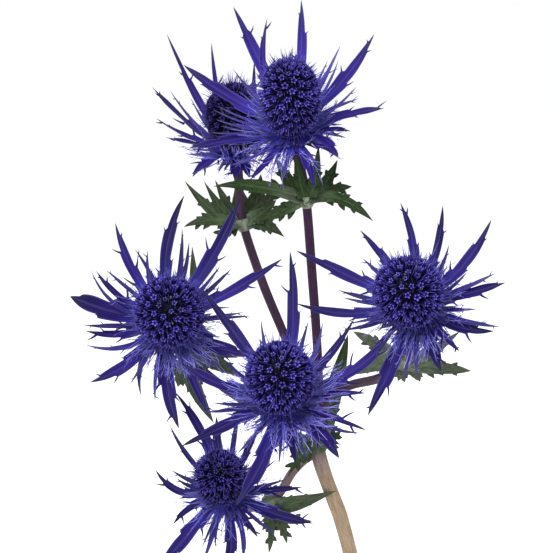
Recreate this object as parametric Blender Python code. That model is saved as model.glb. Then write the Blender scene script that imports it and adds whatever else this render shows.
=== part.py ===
"""Spray of sea holly: six blue flower heads on one branching stem, standing in a plain glass bottle of water.

Sizes are in millimetres and become metres as each mesh is made. +Z is up and the front of the spray faces -Y.
The origin is the centre of the bottle's flat base.

Each bract and leaf is set out as the front view shows it: its clock angle from straight up, how far it
reaches and its width. A bract also has its lift out of the plane square to its cone and its sweep to one
side, and a leaf its lean towards the viewer and how high it arches.
"""

import math

import bmesh
import bpy
import numpy as np
from mathutils import Matrix, Vector

MM = 0.001
GAP = 0.3  # clearance where one piece meets another
GOLDEN_ANGLE = math.pi * (3 - math.sqrt(5))

# The front view looks down on the spray by this angle.
VIEW_PITCH = math.radians(10)
VIEW_RIGHT = Vector((1, 0, 0))
VIEW_UP = Vector((0, math.sin(VIEW_PITCH), math.cos(VIEW_PITCH)))
VIEW_NEAR = Vector((0, -math.cos(VIEW_PITCH), math.sin(VIEW_PITCH)))

# Bottle and water
BOTTLE_HEIGHT = 150
BODY_RADIUS = 31
BASE_CURVE = 5
BODY_TOP = 86
NECK_FOOT = 116
NECK_RADIUS = 11.2
LIP_RADIUS = 13.4
LIP_DEPTH = 6
WALL = 2.6
FLOOR = 4
WATER_TOP = 80
BOTTLE_SIDES = 24

# Stem and branches
TRUNK_RADIUS = 2.7
TRUNK_SIDES = 10
BRANCH_RADIUS = 1.6
BRANCH_SIDES = 8
TRUNK = [(21.6, -4, 5.1), (14.8, -1.5, 45), (7.8, 0.5, 85), (2.2, 2, 115), (-4, 3.1, 148), (-8.5, 4.2, 166),
         (-11.2, 5, 173.5), (-14, 5.6, 181), (-16.4, 6.1, 188.5), (-18.6, 6.5, 199.2)]
FORK = TRUNK[-1]
LOW_FORK = (-16.8, 6.2, 191)
BRANCHES = {
    "front": [FORK, (-21, 0, 205), (-26, -22, 211)],
    "left": [FORK, (-32, 7, 204), (-46, 8, 211), (-60, 8, 222), (-68, 10, 231)],
    "right": [FORK, (-14, 6, 211), (-6, 4, 216), (4, 2, 219), (12, 0, 224), (17.5, -3, 236)],
    "top": [FORK, (-17, 8, 214), (-17.6, 8, 232), (-19.4, 5, 256), (-21.6, 0, 283), (-23.8, -1.5, 295)],
    "back": [FORK, (-21.5, 12, 213), (-29, 18, 231), (-37, 22, 250), (-44, 24, 271), (-45.4, 25.4, 283)],
    "low": [LOW_FORK, (-21.6, 7, 188.2), (-26.4, 8.7, 182.6), (-30.2, 10.4, 175.6), (-34.4, 12, 170.8),
            (-42, 14.5, 167.6), (-48.5, 15.5, 167.5)],
}

# Hub under each head. Its profile is in (radius, height above the head's foot).
HUB_TOP = 1.4
HUB_DEPTH = 4
HUB_PROFILE = [(0, -HUB_DEPTH), (1.9, -HUB_DEPTH), (3.6, -2), (5.4, -0.7), (6.2, 0.4), (5.9, HUB_TOP),
               (0, HUB_TOP)]
HUB_SIDES = 10
ROOT_RADIUS = 3.2  # where the bracts start in the hub

# Cone of florets. It is an ellipsoid cut flat below its middle, at this share of its half length.
CONE_BASE = 0.84
FLORET_AREA = 20.5  # of the whole ellipsoid, for each floret
VALLEY = 2.4  # depth of the dent between three florets

# Blades
BRACT_THICK = 1.1
LEAF_THICK = 1
TOOTH = 1.9
LEAF_LOBE = 0.42  # as a share of the leaf's width
BROAD_LEAF = 4.1  # leaves broader than this have a second pair of lobes
LEAF_TWIST = 0.65  # how far the leaves' upper faces turn from along the stem to the front
SPINE_WIDTH = 2  # bracts narrower than this are plain spines
BROAD = 3.5  # bracts broader than this have a third tooth
NEAR_TIP = 0.75  # past this share of the length, a tooth runs on into the tip

# foot: where the bracts spread. facing: degrees to the right of the front, and above level. cone: radius
# and half length. bracts: (clock, reach, width, lift, sweep), with the sweep as the share of a bract's length
# by which its middle bows clockwise.
HEADS = {
    "front": dict(foot=(-30, -40, 221.8), facing=(-5, 43), cone=(11.8, 14.2), bracts=[
        (3, 50, 4, 8, 0.08), (42, 36, 3, 14, 0.09), (59, 43, 4.2, 9, 0.2), (85, 27.5, 2.6, 12, -0.1),
        (109, 29, 2.4, 6, -0.03), (135, 26, 5.2, 6, -0.1), (205, 36.5, 5, 4, -0.1),
        (246, 36, 4.2, 8, 0.03), (290, 36.5, 4.2, 12, -0.12), (323, 46, 4, 9, 0.02), (168, 20, 3, 10, 0),
        (18, 28, 1.8, 24, 0), (27, 29.5, 1.8, 20, 0.18), (345, 28, 1.5, 24, -0.1),
        (111, 27, 1.8, 14, 0.15), (156, 20, 1.3, 16, 0), (184, 19, 1.2, 20, 0), (222, 22, 1.6, 16, 0),
        (263, 26, 1.8, 18, 0), (270, 23, 1.5, 26, 0), (305, 27, 1.3, 26, 0)]),
    "left": dict(foot=(-70, -2, 240.4), facing=(5, 25), cone=(12.6, 14), bracts=[
        (7, 45, 4, 8, -0.18), (30, 51, 4.4, 6, 0.07), (61, 46, 3.8, 9, 0.05), (112, 32, 5, 8, 0.1),
        (155, 36, 3, 10, 0), (173, 37, 5, 5, 0.14), (232, 33.5, 4.4, 7, -0.17), (264, 28, 3, 14, -0.17),
        (285, 35, 5.8, 8, -0.08), (306, 30.5, 2.6, 16, -0.18), (332, 39.5, 3.4, 10, -0.13),
        (9, 33, 1.9, 24, 0.1), (43, 27, 1.6, 26, 0.05), (50, 29, 1.8, 16, 0.05), (82, 27, 1.6, 22, 0),
        (86, 29.5, 1.4, 12, -0.02), (130, 26, 1.5, 20, 0), (198, 26.5, 1.9, 16, 0.3),
        (187, 27, 1.6, 20, 0.1), (255, 28.5, 1.9, 20, -0.3), (269, 28, 1.9, 26, 0),
        (305, 32, 1.4, 20, -0.35), (345, 26, 1.8, 24, -0.2)]),
    "right": dict(foot=(15.4, -20, 249.6), facing=(-16, 30), cone=(12.2, 14), bracts=[
        (352, 36, 3, 12, 0.13), (15.5, 35.5, 3, 10, 0.11), (41, 39, 3.8, 8, 0.16), (75, 30.5, 3.8, 10, 0),
        (108, 26.5, 3.6, 8, 0.17), (161, 23, 5, 8, 0), (205, 40.5, 4.8, 4, -0.03),
        (271, 41, 3.4, 8, -0.16), (295, 45, 4, 8, 0), (324, 32, 3, 14, 0.07), (138, 20, 2.4, 14, 0),
        (27, 23.5, 1.5, 24, 0.1), (54, 20, 1.6, 24, 0.1), (66.5, 28, 1.9, 18, 0), (92, 19, 1.6, 20, 0),
        (104, 27, 1.9, 18, 0.03), (183, 23.5, 1.8, 18, 0.03), (192, 26, 1.9, 10, -0.05),
        (228, 22, 1.7, 18, 0), (252, 27, 1.9, 14, -0.08), (282, 27.5, 1.9, 20, -0.03),
        (312, 24.5, 1.9, 24, 0)]),
    "top": dict(foot=(-26.7, -10, 308.8), facing=(-4, 45), cone=(10.8, 17), bracts=[
        (4, 47.5, 3.8, 12, 0.05), (40, 44.5, 4.2, 10, 0.09), (77, 32, 3.8, 10, -0.13),
        (124, 18.5, 5, 8, -0.2), (160, 22, 2.8, 6, -0.05), (218, 23, 2.4, 10, 0), (259, 35.5, 4.2, 10, 0.08),
        (301.5, 44, 4.8, 10, -0.04), (335.5, 49.5, 4.4, 10, 0.02), (348, 40.5, 2.6, 22, -0.28),
        (92, 19.5, 2.4, 16, -0.2), (26.5, 27, 1.5, 28, -0.05), (29, 34, 1.9, 20, 0),
        (56, 26, 1.6, 22, 0.1), (64.5, 25, 1.6, 14, -0.17), (100.5, 18.5, 1.5, 8, -0.1),
        (145, 17, 1.3, 18, 0), (190, 18, 1.4, 18, 0), (238, 24, 1.5, 20, 0), (277, 25.5, 1.4, 24, 0),
        (317, 29.5, 1.6, 28, 0)]),
    "back": dict(foot=(-46.1, 22, 298.1), facing=(-12, 74), cone=(10.6, 13.2), bracts=[
        (347, 43.5, 2.8, 42, -0.08), (330, 52.5, 3.2, 34, 0.03), (309, 40, 3.4, 26, 0.05),
        (293, 32, 2.8, 14, -0.05), (282, 26.5, 3, 6, 0.04), (234, 18.8, 4.6, -6, 0.12),
        (157, 12, 4, -8, 0), (181, 12.5, 4.2, -8, 0), (9, 36, 3, 44, 0.08), (52, 38, 3, 28, 0),
        (82, 34, 3.2, 12, 0), (314, 33, 1.9, 36, 0), (266, 18, 1.8, 8, -0.1), (205, 12, 1.4, 4, 0),
        (70, 28, 1.5, 24, 0), (27, 33.5, 3.4, 40, 0)]),
    "low": dict(foot=(-50.4, 4, 177), facing=(-8, 38), cone=(9.5, 13.2), bracts=[
        (332, 40, 3.4, 10, 0.11), (353, 27, 3, 16, -0.08), (27, 26, 2.4, 14, 0), (84.5, 28, 2.6, 12, 0),
        (107, 33, 4.2, 6, 0.08), (181, 31, 3.8, 4, -0.16), (222, 36, 4.8, 6, 0.03),
        (240, 21, 2.8, 12, 0.24), (287, 26.5, 3, 8, -0.42), (141, 19, 2.4, 8, 0),
        (320, 31.5, 1.9, 20, -0.14), (294, 21, 1.8, 28, -0.05), (288, 18.5, 1.6, 22, -0.2),
        (8, 34, 1.9, 20, 0), (74, 22.5, 1.6, 24, 0), (126, 22, 1.4, 16, 0), (166, 24, 1.8, 16, -0.2),
        (198, 24, 1.9, 14, 0), (55, 22, 1.4, 24, 0)]),
}

# on: the branch that a ring of leaves grows from. place: about where. leaves: (clock, reach, width, lean,
# arch), with the arch as the share of a leaf's length by which its middle stands up along the branch.
WHORLS = {
    "fork": dict(on="trunk", place=(-17.9, 6.3, 194), leaves=[
        (16, 41.6, 5.6, -12, 0.35), (24, 18.4, 3.2, -30, 0), (60, 10, 3.2, -20, 0), (330, 6.5, 3.8, 30, 0),
        (225, 15, 2.2, 25, 0), (289, 18.4, 4, -35, 0)]),
    "top": dict(on="top", place=(-21.6, 0, 283), leaves=[
        (278.5, 32.5, 4.2, 12, 0.3), (324.5, 18.2, 4.6, -25, 0), (345.5, 17.4, 4, 35, 0),
        (12.5, 18.3, 4, 40, 0), (36.5, 18.4, 4.2, -15, 0), (74.5, 16.8, 3.6, -20, 0.1),
        (107.5, 24, 3.8, 15, 0.22), (245.5, 18.5, 3.8, -10, -0.22)]),
    "back": dict(on="back", place=(-44, 24, 271), leaves=[
        (268, 21.4, 4, 10, 0.3), (306, 26.5, 3.8, -20, 0), (318, 21.3, 3.4, 0, 0), (327, 19, 3.6, -25, 0),
        (350, 17.2, 6.6, -45, 0), (19.5, 19.3, 6.4, -30, 0), (38, 18.4, 5.4, -8, 0), (56, 14.6, 4.2, 20, 0),
        (106.5, 15.3, 4.2, 15, 0.1), (236, 11.6, 3.4, 40, 0)]),
    "left": dict(on="left", place=(-62, 6.8, 224), leaves=[
        (160.5, 23, 5.2, 12, 0), (88, 16.7, 3.6, -10, 0), (107, 20, 5, 20, 0), (207, 11.4, 4.4, -30, 0),
        (263, 15, 4.4, -40, 0), (15, 12.9, 4.2, -50, 0), (359, 41.6, 3.8, -12, 0.3)]),
    "right": dict(on="right", place=(12.4, -0.4, 225), leaves=[
        (303.5, 20.9, 4.2, -10, 0), (258, 20.3, 6, 15, 0), (95.5, 24.4, 4.4, 0, 0.22),
        (63, 23.8, 3.8, -30, 0), (122.5, 9.6, 4, -50, 0), (6.5, 13.7, 4.4, -50, 0), (197, 6.2, 3.6, 10, 0)]),
    "low": dict(on="low", place=(-34.4, 12, 170.8), leaves=[
        (77.5, 24, 5.2, 27, 0), (110, 17, 4, 25, 0), (159.5, 16.9, 3.8, -10, 0), (180, 17.7, 3, 20, 0),
        (196, 11.8, 4.4, -25, 0), (27, 6.4, 4.4, -50, 0)]),
}
COLLAR_RIM = 1.5
COLLAR_HEIGHT = 4
COLLAR_SIDES = 10


def clear_scene():
    for obj in list(bpy.data.objects):
        bpy.data.objects.remove(obj, do_unlink=True)


def material(name, colour, roughness, transmission=0.0):
    look = bpy.data.materials.new(name)
    look.use_nodes = True
    shader = look.node_tree.nodes["Principled BSDF"]
    shader.inputs["Base Color"].default_value = (*colour, 1)
    shader.inputs["Roughness"].default_value = roughness
    shader.inputs["Transmission Weight"].default_value = transmission
    return look


def mesh_object(name, solid, look):
    """Object made from a solid's points, in millimetres, and its faces."""
    points, faces = solid
    mesh = bpy.data.meshes.new(name)
    mesh.from_pydata([tuple(point) for point in np.asarray(points) * MM], [], faces)
    mesh.materials.append(look)
    mesh.shade_smooth()
    mesh.set_sharp_from_angle(angle=math.radians(35))
    obj = bpy.data.objects.new(name, mesh)
    bpy.context.scene.collection.objects.link(obj)
    return obj


def settle(obj):
    """Writes an object's modifiers into its mesh."""
    graph = bpy.context.evaluated_depsgraph_get()
    mesh = bpy.data.meshes.new_from_object(obj.evaluated_get(graph))
    obj.modifiers.clear()
    rough = obj.data
    obj.data = mesh
    bpy.data.meshes.remove(rough)


def fuse(name, solids, look):
    """One closed object from solids that overlap each other."""
    body = mesh_object(name, solids[0], look)
    others = bpy.data.collections.new(name + "_parts")
    bpy.context.scene.collection.children.link(others)
    for index, solid in enumerate(solids[1:]):
        piece = mesh_object(f"{name}_part_{index}", solid, look)
        bpy.context.scene.collection.objects.unlink(piece)
        others.objects.link(piece)
    join = body.modifiers.new("join", "BOOLEAN")
    join.operation = "UNION"
    join.operand_type = "COLLECTION"
    join.collection = others
    settle(body)
    for piece in list(others.objects):
        bpy.data.objects.remove(piece, do_unlink=True)
    bpy.data.collections.remove(others)
    return body


def bore(body, cutter):
    """Cuts a hole of the cutter's shape through the object."""
    tool = mesh_object(body.name + "_hole", cutter, body.data.materials[0])
    tool.hide_render = True
    tool.display_type = "WIRE"
    cut = body.modifiers.new("hole", "BOOLEAN")
    cut.operation = "DIFFERENCE"
    cut.object = tool
    settle(body)
    bpy.data.objects.remove(tool, do_unlink=True)


def turned(profile, sides):
    """Solid turned about Z from (radius, height) points that start and end on the axis."""
    turns = np.arange(sides) * 2 * math.pi / sides
    rings = np.array(profile[1:-1], float)
    points = np.stack([
        rings[:, :1] * np.cos(turns), rings[:, :1] * np.sin(turns), np.repeat(rings[:, 1:], sides, axis=1)
    ], axis=-1).reshape(-1, 3)
    points = np.vstack([points, (0, 0, profile[0][1]), (0, 0, profile[-1][1])])
    last = (len(rings) - 1) * sides
    first_pole, last_pole = len(points) - 2, len(points) - 1
    faces = []
    for j in range(sides):
        k = (j + 1) % sides
        faces.append((first_pole, k, j))
        faces += [(r + j, r + k, r + sides + k, r + sides + j) for r in range(0, last, sides)]
        faces.append((last + j, last + k, last_pole))
    return points, faces


def swept(path, radii, sides):
    """Round solid along a path, with a flat face at each end."""
    path = np.asarray(path, float)
    ways = np.gradient(path, axis=0)
    ways /= np.linalg.norm(ways, axis=1, keepdims=True)
    side = np.cross(ways[0], (0, 1, 0))
    rings = []
    for point, way, radius in zip(path, ways, np.broadcast_to(radii, len(path))):
        side = side - way * side.dot(way)
        side /= np.linalg.norm(side)
        turns = np.arange(sides)[:, None] * 2 * math.pi / sides
        rings.append(point + radius * (np.cos(turns) * side + np.sin(turns) * np.cross(way, side)))
    last = (len(path) - 1) * sides
    faces = [tuple(range(sides))[::-1], tuple(range(last, last + sides))]
    for r in range(0, last, sides):
        for j in range(sides):
            k = (j + 1) % sides
            faces.append((r + j, r + k, r + sides + k, r + sides + j))
    return np.vstack(rings), faces


def smooth(points, per_span):
    """Catmull-Rom curve through the points."""
    points = np.asarray(points, float)
    ends = np.vstack([2 * points[0] - points[1], points, 2 * points[-1] - points[-2]])
    curve = []
    for a, b, c, d in zip(ends, ends[1:], ends[2:], ends[3:]):
        for t in np.arange(per_span) / per_span:
            bend = (2 * a - 5 * b + 4 * c - d) + t * (3 * b - a - 3 * c + d)
            curve.append(b + 0.5 * t * ((c - a) + t * bend))
    return np.vstack([curve, points[-1]])


def aim(axis, clock, reach, lift):
    """Direction and length of a blade that the front view shows at a clock angle and a reach.

    The direction lies in the plane of that clock angle and the line of sight, turned until it stands at the
    given lift above the plane square to the axis.
    """
    clock = math.radians(clock)
    across = math.cos(clock) * VIEW_UP + math.sin(clock) * VIEW_RIGHT
    facing = Vector((across.dot(axis), VIEW_NEAR.dot(axis)))
    middle = math.atan2(facing.y, facing.x)
    spread = math.acos(max(-1, min(1, math.sin(math.radians(lift)) / facing.length)))
    swing = max(middle - spread, middle + spread, key=math.cos)
    return across * math.cos(swing) + VIEW_NEAR * math.sin(swing), reach / max(math.cos(swing), 0.5)


def leaned(clock, reach, lean):
    """Direction and length of a blade that the front view shows at a clock angle and a reach, at a lean."""
    clock, lean = math.radians(clock), math.radians(lean)
    across = math.cos(clock) * VIEW_UP + math.sin(clock) * VIEW_RIGHT
    return across * math.cos(lean) + VIEW_NEAR * math.sin(lean), reach / math.cos(lean)


def leaving(root, way, length, axis, sweep=0.0, arch=0.0):
    """Root, bend and tip of a blade that leaves its stem square to the axis and then lifts."""
    level = way - axis * way.dot(axis)
    middle = root + (level / 2 + level.cross(axis) * sweep + axis * arch) * length
    return np.array([root, middle, root + way * length])


def along(bend, t):
    """Points and directions of the quadratic curve at t."""
    t = np.asarray(t)[:, None]
    root, middle, tip = bend
    places = (1 - t) ** 2 * root + 2 * t * (1 - t) * middle + t ** 2 * tip
    ways = (1 - t) * (middle - root) + t * (tip - middle)
    return places, ways / np.linalg.norm(ways, axis=1, keepdims=True)


def blade(bend, axis, width, thick, teeth):
    """Lance-shaped blade with a ridge on both faces and spiny teeth.

    Each tooth is (share of the length, side, length), with side -1 for left, 1 for right and 2 for both.
    """
    stations = {0: (0, 0), 0.2: (0, 0)}
    for place, side, length in teeth:
        stations.update({place - 0.05: (0, 0), place: (side, length)})
        if place < NEAR_TIP:
            stations[place + 0.04] = (0, 0)
    t = np.array(sorted(stations))
    places, ways = along(bend, t)
    sides = np.cross(ways, axis)
    sides /= np.linalg.norm(sides, axis=1, keepdims=True)
    ups = np.cross(sides, ways)
    half = width / 2 * (1 - t) ** 0.6 * (0.74 + 1.55 * t)
    ridge = thick / 2 * (1 - t) ** 0.25
    rows = []
    for i, station in enumerate(t):
        side, length = stations[station]
        tooth_left, tooth_right = length * (side in (-1, 2)), length * (side in (1, 2))
        left = places[i] - sides[i] * (half[i] + tooth_left) + ways[i] * tooth_left * 0.7
        right = places[i] + sides[i] * (half[i] + tooth_right) + ways[i] * tooth_right * 0.7
        rows += [left, places[i] - ups[i] * ridge[i], right, places[i] + ups[i] * ridge[i]]
    tip = len(rows)
    rows.append(along(bend, [1])[0][0])
    faces = [(3, 2, 1, 0)]
    for r in range(0, tip - 4, 4):
        for j in range(4):
            k = (j + 1) % 4
            a, b, c, d = r + j, r + k, r + 4 + k, r + 4 + j
            # Each quad is split from its edge point to its ridge point, so both faces bend alike.
            faces += [(a, b, c), (a, c, d)] if j % 2 else [(a, b, d), (b, c, d)]
    faces += [(tip - 4 + j, tip - 4 + (j + 1) % 4, tip) for j in range(4)]
    return np.array(rows), faces


def spine(bend, axis, width):
    """Three-sided spine that tapers to a point."""
    places, ways = along(bend, [0, 0.3])
    sides = np.cross(ways, axis)
    sides /= np.linalg.norm(sides, axis=1, keepdims=True)
    ups = np.cross(sides, ways)
    turns = np.radians([90, 210, 330])[:, None]
    rows = [places[i] + width / 2 * taper * (np.cos(turns) * sides[i] + np.sin(turns) * ups[i])
            for i, taper in enumerate((1, 0.8))]
    rows.append(along(bend, [1])[0])
    faces = [(2, 1, 0), (0, 1, 4), (0, 4, 3), (1, 2, 5), (1, 5, 4), (2, 0, 3), (2, 3, 5), (3, 4, 6),
             (4, 5, 6), (5, 3, 6)]
    return np.vstack(rows), faces


def facing_way(facing):
    """Unit vector turned to the right of the front and then up, by angles in degrees."""
    right, up = (math.radians(angle) for angle in facing)
    return Vector((math.sin(right) * math.cos(up), -math.cos(right) * math.cos(up), math.sin(up)))


def head_frame(head):
    """Frame with its origin at the head's foot and Z along its cone."""
    z = facing_way(head["facing"])
    x = Vector((0, 0, 1)).cross(z).normalized()
    return Matrix.Translation(Vector(head["foot"]) * MM) @ Matrix((x, z.cross(x), z)).transposed().to_4x4()


def bract_teeth(index, width):
    """A pair of teeth, and a third on a broad bract, at places that differ a little between bracts."""
    shift = 0.04 * (index % 3) - 0.04
    pair = (0.46 + shift, 2, TOOTH)
    return [pair, (0.69 + shift, (1, -1)[index % 2], TOOTH * 0.8)] if width > BROAD else [pair]


def bracts(name, head, frame, look):
    """Ring of toothed bracts and spines on their hub."""
    turn = frame.to_3x3().transposed()
    axis = Vector((0, 0, 1))
    solids = [turned(HUB_PROFILE, HUB_SIDES)]
    for index, (clock, reach, width, lift, sweep) in enumerate(head["bracts"]):
        way, length = aim(facing_way(head["facing"]), clock, reach, lift)
        way = turn @ way
        level = Vector((way.x, way.y, 0)).normalized()
        root = level * ROOT_RADIUS + axis * (0.35 if index % 2 else -0.15)
        bend = leaving(root, way, length - ROOT_RADIUS, axis, sweep)
        if width < SPINE_WIDTH:
            solids.append(spine(bend, axis, width))
        else:
            solids.append(blade(bend, axis, width, BRACT_THICK, bract_teeth(index, width)))
    body = fuse("bracts_" + name, solids, look)
    body.matrix_world = frame
    return body


def cone(name, head, frame, look):
    """Egg of florets: golden-angle points joined by their hull, with a valley between each three florets."""
    radius, half = head["cone"]
    centre = HUB_TOP + GAP + CONE_BASE * half
    foot_radius = radius * math.sqrt(1 - CONE_BASE ** 2)
    count = round(2 * math.pi * radius * half * (1 + CONE_BASE) / FLORET_AREA)
    bm = bmesh.new()
    for i in range(count):
        up = 1 - (1 + CONE_BASE * 0.93) * (i + 0.5) / count
        out = radius * math.sqrt(1 - up ** 2)
        turn = i * GOLDEN_ANGLE
        bm.verts.new((out * math.cos(turn), out * math.sin(turn), centre + half * up))
    rim = round(2 * math.pi * foot_radius / math.sqrt(FLORET_AREA))
    rim_points = {
        bm.verts.new((foot_radius * math.cos(turn), foot_radius * math.sin(turn), HUB_TOP + GAP))
        for turn in np.arange(rim) * 2 * math.pi / rim
    }
    bmesh.ops.convex_hull(bm, input=bm.verts[:])
    upper = [face for face in bm.faces if len(rim_points.intersection(face.verts)) < 2]
    bmesh.ops.recalc_face_normals(bm, faces=bm.faces[:])
    bmesh.ops.poke(bm, faces=upper, offset=-VALLEY)
    bm.verts.index_update()
    points = [vert.co[:] for vert in bm.verts]
    faces = [[vert.index for vert in face.verts] for face in bm.faces]
    bm.free()
    body = mesh_object("cone_" + name, (points, faces), look)
    body.matrix_world = frame
    return body


def branch_path(name):
    """Smooth route of a branch, which ends square to its head's hub."""
    foot = np.array(HEADS[name]["foot"], float)
    axis = np.array(facing_way(HEADS[name]["facing"]))
    end = foot - axis * (HUB_DEPTH + GAP)
    return np.vstack([smooth(BRANCHES[name] + [tuple(end - axis * 5)], 2), end])


def paths():
    """Routes of the branches and the trunk, by name."""
    routes = {name: branch_path(name) for name in BRANCHES}
    routes["trunk"] = smooth(TRUNK, 2)
    return routes


def stem(routes, look):
    solids = [swept(routes["trunk"], TRUNK_RADIUS, TRUNK_SIDES)]
    for name in BRANCHES:
        solids.append(swept(routes[name], BRANCH_RADIUS, BRANCH_SIDES))
    return fuse("stem", solids, look)


def leaf_lobes(width):
    """A pair of spiny lobes, and a second pair on a broad leaf."""
    lobe = width * LEAF_LOBE
    return [(0.48, 2, lobe), (0.74, 2, lobe * 0.7)] if width > BROAD_LEAF else [(0.6, 2, lobe)]


def whorl(name, routes, look):
    """Ring of spiny leaves round a stem, with a plain hole for the stem."""
    spec = WHORLS[name]
    route = routes[spec["on"]]
    nearest = np.argmin(np.linalg.norm(route - spec["place"], axis=1))
    nearest = min(max(nearest, 1), len(route) - 2)
    axis = Vector(route[nearest + 1] - route[nearest - 1]).normalized()
    centre = Vector(route[nearest])
    inner = (TRUNK_RADIUS if spec["on"] == "trunk" else BRANCH_RADIUS) + GAP
    ends = [centre - axis * COLLAR_HEIGHT / 2, centre, centre + axis * COLLAR_HEIGHT / 2]
    solids = [swept(ends, [inner + COLLAR_RIM * 0.7, inner + COLLAR_RIM, inner + COLLAR_RIM], COLLAR_SIDES)]
    upper_face = (axis * (1 - LEAF_TWIST) + VIEW_NEAR * LEAF_TWIST).normalized()
    for index, (clock, reach, width, lean, arch) in enumerate(spec["leaves"]):
        way, length = leaned(clock, reach, lean)
        root = centre + axis * (0.5 if index % 2 else -0.4)
        bend = leaving(root, way, length, axis, arch=arch)
        solids.append(blade(bend, upper_face, width, LEAF_THICK, leaf_lobes(width)))
    body = fuse("leaves_" + name, solids, look)
    bore(body, swept(route[max(nearest - 2, 0):nearest + 3], inner, COLLAR_SIDES))
    return body


def bottle_outline():
    """Half section of the bottle, from the middle of its base up the outside and down the inside."""
    arc = [math.radians(angle) for angle in (-90, -60, -30, 0)]
    corner = [(BODY_RADIUS - BASE_CURVE * (1 - math.cos(a)), BASE_CURVE * (1 + math.sin(a))) for a in arc]
    shoulder = shoulder_curve(BODY_RADIUS, NECK_RADIUS)
    top = BOTTLE_HEIGHT
    lip = [(NECK_RADIUS, top - LIP_DEPTH), (LIP_RADIUS - 0.4, top - LIP_DEPTH + 0.8),
           (LIP_RADIUS, top - LIP_DEPTH / 2), (LIP_RADIUS - 0.6, top - 0.8), (LIP_RADIUS - 1.6, top),
           (NECK_RADIUS - WALL + 0.6, top), (NECK_RADIUS - WALL, top - 0.8)]
    inside = shoulder_curve(BODY_RADIUS - WALL, NECK_RADIUS - WALL)[::-1]
    inner = BODY_RADIUS - WALL
    floor = [(inner, FLOOR + 3.5), (inner - 1, FLOOR + 1), (inner - 3.5, FLOOR)]
    return [(0, 0)] + corner + shoulder + lip + inside + floor + [(0, FLOOR)]


def shoulder_curve(body, neck):
    """From the body's wall over the round shoulder and up into the neck, as half a cosine wave."""
    steps = np.linspace(0, 1, 8)
    return [(neck + (body - neck) * (1 + math.cos(math.pi * s)) / 2, BODY_TOP + (NECK_FOOT - BODY_TOP) * s)
            for s in steps]


def bottle(look):
    return mesh_object("bottle", turned(bottle_outline(), BOTTLE_SIDES), look)


def water(routes, look):
    """Water to below the shoulder, with a plain hole for the stem."""
    radius = BODY_RADIUS - WALL - GAP
    low = FLOOR + GAP
    profile = [(0, low), (radius - 3.5, low), (radius - 1, low + 1), (radius, low + 3.5), (radius, WATER_TOP),
               (0, WATER_TOP)]
    body = mesh_object("water", turned(profile, BOTTLE_SIDES), look)
    route = routes["trunk"][:7]
    start = route[0] - (route[1] - route[0]) * 0.8
    bore(body, swept(np.vstack([start, route]), TRUNK_RADIUS + GAP, TRUNK_SIDES))
    return body


def main():
    clear_scene()
    looks = {
        "bract": material("bract blue", (0.055, 0.045, 0.29), 0.5),
        "cone": material("floret blue", (0.035, 0.03, 0.2), 0.6),
        "leaf": material("leaf green", (0.05, 0.09, 0.03), 0.55),
        "stem": material("stem brown purple", (0.11, 0.06, 0.08), 0.6),
        "glass": material("clear glass", (0.95, 0.97, 0.96), 0.03, 1),
        "water": material("water", (0.97, 0.99, 0.99), 0.02, 1),
    }
    routes = paths()
    bottle(looks["glass"])
    water(routes, looks["water"])
    stem(routes, looks["stem"])
    for name in WHORLS:
        whorl(name, routes, looks["leaf"])
    for name, head in HEADS.items():
        frame = head_frame(head)
        bracts(name, head, frame, looks["bract"])
        cone(name, head, frame, looks["cone"])


main()
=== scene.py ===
import math

import bpy
import numpy as np
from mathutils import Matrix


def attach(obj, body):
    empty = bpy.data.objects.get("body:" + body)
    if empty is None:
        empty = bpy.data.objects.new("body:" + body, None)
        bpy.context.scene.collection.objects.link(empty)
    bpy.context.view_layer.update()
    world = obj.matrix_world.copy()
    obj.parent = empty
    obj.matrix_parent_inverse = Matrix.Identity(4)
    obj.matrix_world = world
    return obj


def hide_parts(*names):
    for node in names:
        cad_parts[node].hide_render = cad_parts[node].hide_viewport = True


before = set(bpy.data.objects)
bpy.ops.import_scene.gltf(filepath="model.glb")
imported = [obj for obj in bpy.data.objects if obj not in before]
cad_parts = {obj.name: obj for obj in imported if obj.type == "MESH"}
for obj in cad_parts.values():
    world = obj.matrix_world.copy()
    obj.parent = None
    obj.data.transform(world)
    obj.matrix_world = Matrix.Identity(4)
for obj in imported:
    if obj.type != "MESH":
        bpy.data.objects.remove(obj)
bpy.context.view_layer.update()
mm = 0.001

# Every length in the settings is in millimetres, and every colour is as it looks on screen, from 0 to 255.

# Camera: it looks along +Y and a little down, and takes in the spray but not the bottle.
cameraSettings = dict(place=(-32, -689.4, 377.6), downAngle=10, lens=130.2)
downAngle = math.radians(cameraSettings["downAngle"])
viewRight = np.array([1.0, 0.0, 0.0])
viewUp = np.array([0.0, math.sin(downAngle), math.cos(downAngle)])
viewNear = np.array([0.0, -math.cos(downAngle), math.sin(downAngle)])


def makeCamera():
    camera = bpy.data.objects.new("camera", bpy.data.cameras.new("camera"))
    bpy.context.scene.collection.objects.link(camera)
    camera.location = np.array(cameraSettings["place"]) * mm
    camera.rotation_euler = (math.pi / 2 - downAngle, 0, 0)
    camera.data.lens = cameraSettings["lens"]
    camera.data.clip_start = 0.01
    bpy.context.scene.camera = camera


# Studio: each light is a soft square panel that faces the middle of the spray: (angle, height, how far away,
# side, power). An angle of 0 is in front of the spray and 90 is to its right.
studioSettings = dict(
    lights=dict(key=(-30, 950, 1000, 700, 14), fill=(50, 420, 1300, 1000, 3), back=(165, 900, 1200, 900, 5)),
    middle=(-20, 0, 240),
    sky=1.06,
    floor=dict(roughness=0.9, gloss=0.5, tones=[(246, 246, 246), (250, 250, 250)], side=24000),
)


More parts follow.
